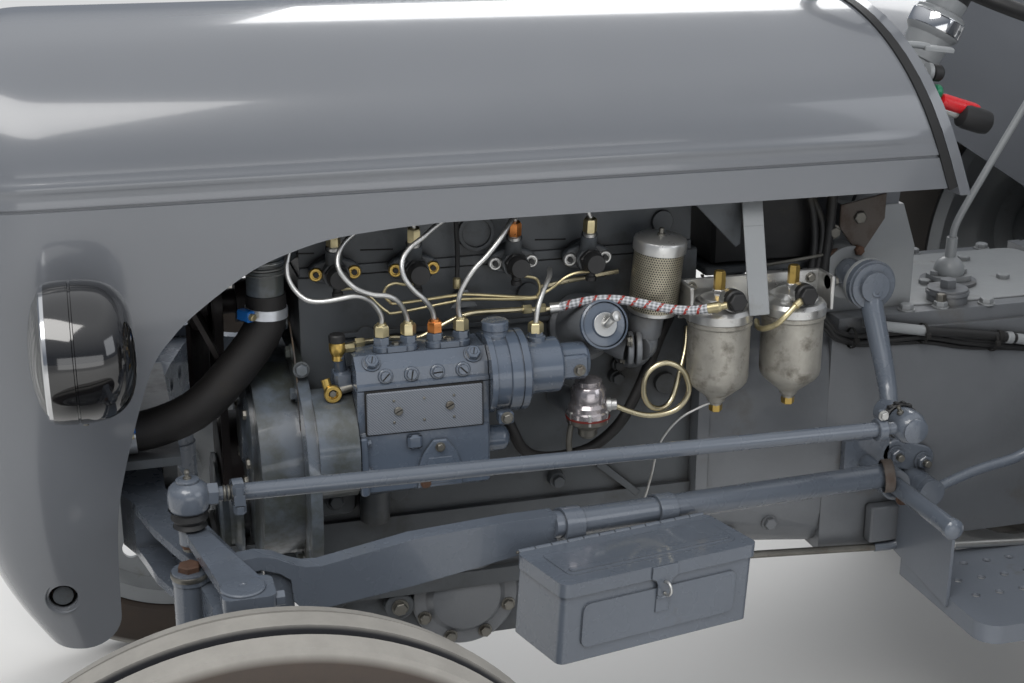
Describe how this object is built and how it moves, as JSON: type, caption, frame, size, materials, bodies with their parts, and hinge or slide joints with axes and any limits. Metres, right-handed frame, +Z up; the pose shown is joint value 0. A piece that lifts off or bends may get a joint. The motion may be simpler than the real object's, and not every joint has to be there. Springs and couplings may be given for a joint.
{
  "type": "vintage farm tractor",
  "caption": "Small vintage diesel farm tractor with an open engine, hinged bonnet, twin drag link steering and a rear three point linkage.",
  "frame": {"origin": "middle of the bounding box on the ground plane under the tyres", "axes": "+X to the rear, +Y to the tractor's right, +Z up; the left side faces -Y"},
  "size_m": [2.928, 1.591, 1.3281],
  "materials": {
    "grey_enamel": "gloss",
    "engine_paint": "satin",
    "pump_grey": "satin",
    "black_paint": "gloss",
    "bare_alloy": "satin",
    "zinc": "satin",
    "black_hose": "satin",
    "tyre_rubber": "dusty",
    "black_plastic": "gloss",
    "rusty_iron": "matte"
  },
  "bodies": {
    "chassis": {"radiator": "engine_paint", "hoses": "black_hose", "fan": "engine_paint", "fuel_tank": "engine_paint", "dash": "grey_enamel", "engine_block": "engine_paint", "cylinder_head": "engine_paint", "timing_case": "engine_paint", "injection_pump": "pump_grey", "injectors": "engine_paint", "breather": "zinc", "fuel_filters": "bare_alloy", "exhaust": "rusty_iron", "front_support": "grey_enamel", "front_axle": "grey_enamel", "radius_rods": "grey_enamel", "gearbox": "grey_enamel", "steering_box": "grey_enamel", "gear_lever": "zinc", "pedals": "grey_enamel", "footrests": "bare_alloy", "toolbox": "grey_enamel", "rear_axle": "grey_enamel", "lift_cover": "grey_enamel", "seat": "grey_enamel", "fenders": "grey_enamel"},
    "bonnet": {"bonnet": "grey_enamel", "grille": "grey_enamel", "headlamps": "black_paint"},
    "steering_wheel": {"steering_wheel": "black_plastic"},
    "knuckle_left": {"knuckle_left": "grey_enamel"},
    "front_wheel_left": {"front_tyre_left": "tyre_rubber", "front_rim_left": "grey_enamel"},
    "rear_wheel_left": {"rear_tyre_left": "tyre_rubber", "rear_rim_left": "grey_enamel"},
    "drop_arm_left": {"drop_arm_left": "grey_enamel"},
    "drag_link_left": {"drag_link_left": "grey_enamel"},
    "knuckle_right": {"knuckle_right": "grey_enamel"},
    "front_wheel_right": {"front_tyre_right": "tyre_rubber", "front_rim_right": "grey_enamel"},
    "rear_wheel_right": {"rear_tyre_right": "tyre_rubber", "rear_rim_right": "grey_enamel"},
    "drop_arm_right": {"drop_arm_right": "grey_enamel"},
    "drag_link_right": {"drag_link_right": "grey_enamel"},
    "toolbox_lid": {"toolbox_lid": "grey_enamel"},
    "lift_arms": {"lift_arms": "grey_enamel"},
    "lift_rods": {"lift_rods": "grey_enamel"},
    "lower_links": {"lower_links": "grey_enamel"}
  },
  "joints": [
    {"name": "bonnet_tilt", "type": "hinge", "parent": "chassis", "child": "bonnet", "pos_m": [-1.2925, 0, 0.525], "axis": [0, -1, 0], "range_deg": [0, 65]},
    {"name": "steer_left", "type": "hinge", "parent": "chassis", "child": "knuckle_left", "pos_m": [-1.1105, -0.53, 0.6], "axis": [0, 0, 1], "range_deg": [-35, 35]},
    {"name": "steer_right", "type": "hinge", "parent": "chassis", "child": "knuckle_right", "pos_m": [-1.1105, 0.53, 0.6], "axis": [0, 0, 1], "range_deg": [-35, 35]},
    {"name": "steering_wheel_turn", "type": "hinge", "parent": "chassis", "child": "steering_wheel", "pos_m": [-0.02743, 0, 1.21809], "axis": [0.454, 0, 0.891], "range_deg": [-450, 450]},
    {"name": "drop_arm_swing_left", "type": "hinge", "parent": "chassis", "child": "drop_arm_left", "pos_m": [-0.2565, -0.15, 0.829], "axis": [0, 1, 0], "range_deg": [-35, 35]},
    {"name": "drag_link_swing_left", "type": "hinge", "parent": "drop_arm_left", "child": "drag_link_left", "pos_m": [-0.2535, -0.318, 0.675], "axis": [0, -1, 0], "range_deg": [-35, 35]},
    {"name": "front_wheel_spin_left", "type": "hinge", "parent": "knuckle_left", "child": "front_wheel_left", "pos_m": [-1.1105, -0.625, 0.345], "axis": [0, 1, 0], "continuous": true},
    {"name": "rear_wheel_spin_left", "type": "hinge", "parent": "chassis", "child": "rear_wheel_left", "pos_m": [0.6625, -0.66, 0.622], "axis": [0, 1, 0], "continuous": true},
    {"name": "drop_arm_swing_right", "type": "hinge", "parent": "chassis", "child": "drop_arm_right", "pos_m": [-0.2565, 0.15, 0.829], "axis": [0, -1, 0], "range_deg": [-35, 35]},
    {"name": "drag_link_swing_right", "type": "hinge", "parent": "drop_arm_right", "child": "drag_link_right", "pos_m": [-0.2535, 0.318, 0.675], "axis": [0, 1, 0], "range_deg": [-35, 35]},
    {"name": "front_wheel_spin_right", "type": "hinge", "parent": "knuckle_right", "child": "front_wheel_right", "pos_m": [-1.1105, 0.625, 0.345], "axis": [0, 1, 0], "continuous": true},
    {"name": "rear_wheel_spin_right", "type": "hinge", "parent": "chassis", "child": "rear_wheel_right", "pos_m": [0.6625, 0.66, 0.622], "axis": [0, 1, 0], "continuous": true},
    {"name": "toolbox_lid_open", "type": "hinge", "parent": "chassis", "child": "toolbox_lid", "pos_m": [-0.7995, -0.423, 0.622], "axis": [-0.9595, -0.2733, 0.068], "range_deg": [0, 75]},
    {"name": "lift_arm_raise", "type": "hinge", "parent": "chassis", "child": "lift_arms", "pos_m": [0.7895, 0, 0.835], "axis": [0, -1, 0], "range_deg": [-38, 40]},
    {"name": "lift_rod_swing", "type": "hinge", "parent": "lift_arms", "child": "lift_rods", "pos_m": [1.0045, 0, 0.905], "axis": [0, -1, 0], "range_deg": [-34, 34]},
    {"name": "lower_link_raise", "type": "hinge", "parent": "chassis", "child": "lower_links", "pos_m": [0.6245, 0, 0.47], "axis": [0, -1, 0], "range_deg": [-17.5, 18.5]}
  ],
  "couplings": [
    {"joint": "steer_right", "follows": "steer_left", "ratio": 1},
    {"joint": "steering_wheel_turn", "follows": "steer_left", "ratio": 12.5},
    {"joint": "lift_rod_swing", "follows": "lift_arm_raise", "ratio": -0.84},
    {"joint": "lower_link_raise", "follows": "lift_arm_raise", "ratio": 0.455},
    {"joint": "drop_arm_swing_left", "follows": "steer_left", "ratio": 0.98},
    {"joint": "drag_link_swing_left", "follows": "steer_left", "ratio": 0.98},
    {"joint": "drop_arm_swing_right", "follows": "steer_left", "ratio": 0.98},
    {"joint": "drag_link_swing_right", "follows": "steer_left", "ratio": 0.98}
  ]
}
